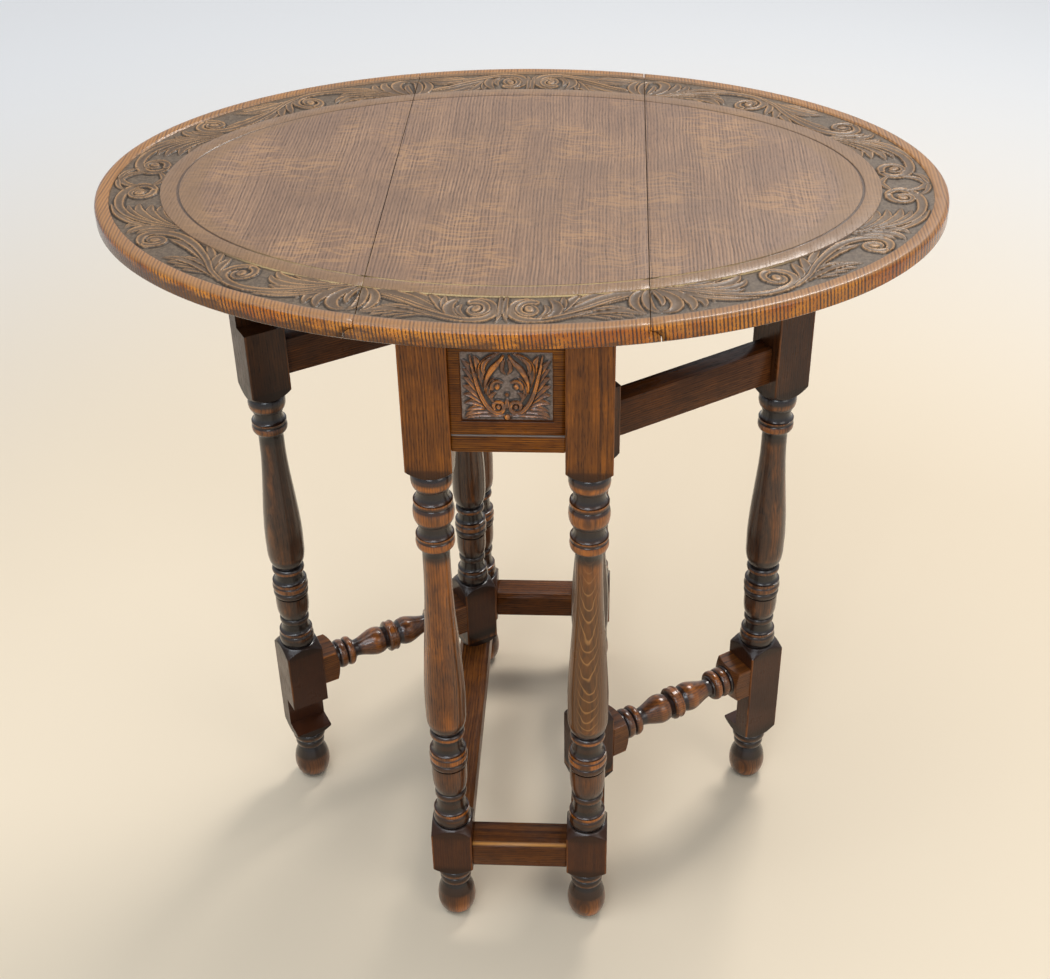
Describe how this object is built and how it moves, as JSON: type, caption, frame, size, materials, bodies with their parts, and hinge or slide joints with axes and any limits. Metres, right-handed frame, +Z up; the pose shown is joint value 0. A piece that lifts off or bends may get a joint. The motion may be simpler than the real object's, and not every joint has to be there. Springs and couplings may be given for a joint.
{
  "type": "gateleg table",
  "caption": "Oval drop-leaf table with a carved border, turned legs and swinging gates that hold the leaves up on rule joints.",
  "frame": {"origin": "on the floor, under the middle of the oval top", "axes": "+X across the leaves towards the right-hand leaf, +Y along the rule joints towards the rear apron, +Z up"},
  "size_m": [0.744, 0.533, 0.73],
  "materials": {
    "top_oak": "waxed and polished, medium brown",
    "frame_oak": "stained dark brown and polished",
    "gate_oak": "stained dark brown and polished",
    "plain_oak": "plain, lightly stained",
    "hinge_steel": "darkened with age"
  },
  "bodies": {
    "frame": {"centre_board": "top_oak", "glue_blocks": "plain_oak", "leg_front_left": "frame_oak", "leg_front_right": "frame_oak", "leg_rear_left": "frame_oak", "leg_rear_right": "frame_oak", "apron_front": "frame_oak", "apron_rear": "frame_oak", "side_rail_left": "frame_oak", "side_rail_right": "frame_oak", "stretcher_front": "frame_oak", "stretcher_rear": "frame_oak", "side_stretcher_left": "frame_oak", "side_stretcher_right": "frame_oak", "hinge_left_front_fixed_flap": "hinge_steel", "hinge_left_rear_fixed_flap": "hinge_steel", "hinge_right_front_fixed_flap": "hinge_steel", "hinge_right_rear_fixed_flap": "hinge_steel"},
    "left_leaf": {"leaf_left": "top_oak", "leaf_stop_left": "plain_oak", "hinge_left_front_leaf_flap": "hinge_steel", "hinge_left_rear_leaf_flap": "hinge_steel"},
    "right_leaf": {"leaf_right": "top_oak", "leaf_stop_right": "plain_oak", "hinge_right_front_leaf_flap": "hinge_steel", "hinge_right_rear_leaf_flap": "hinge_steel"},
    "left_gate": {"gate_stile_left": "gate_oak", "gate_leg_left": "gate_oak", "gate_rail_left": "gate_oak", "gate_stretcher_left": "gate_oak"},
    "right_gate": {"gate_stile_right": "gate_oak", "gate_leg_right": "gate_oak", "gate_rail_right": "gate_oak", "gate_stretcher_right": "gate_oak"}
  },
  "joints": [
    {"name": "left_gate_swing", "type": "hinge", "parent": "frame", "child": "left_gate", "pos_m": [-0.067, 0.106, 0.35], "axis": [0, 0, -1], "range_deg": [-58.5, 1.5]},
    {"name": "right_gate_swing", "type": "hinge", "parent": "frame", "child": "right_gate", "pos_m": [0.067, -0.106, 0.35], "axis": [0, 0, -1], "range_deg": [-56.5, 3.5]},
    {"name": "left_leaf_hinge", "type": "hinge", "parent": "frame", "child": "left_leaf", "pos_m": [-0.112, 0, 0.716], "axis": [0, 1, 0], "range_deg": [0, 2]},
    {"name": "right_leaf_hinge", "type": "hinge", "parent": "frame", "child": "right_leaf", "pos_m": [0.112, 0, 0.716], "axis": [0, -1, 0], "range_deg": [0, 2]}
  ]
}
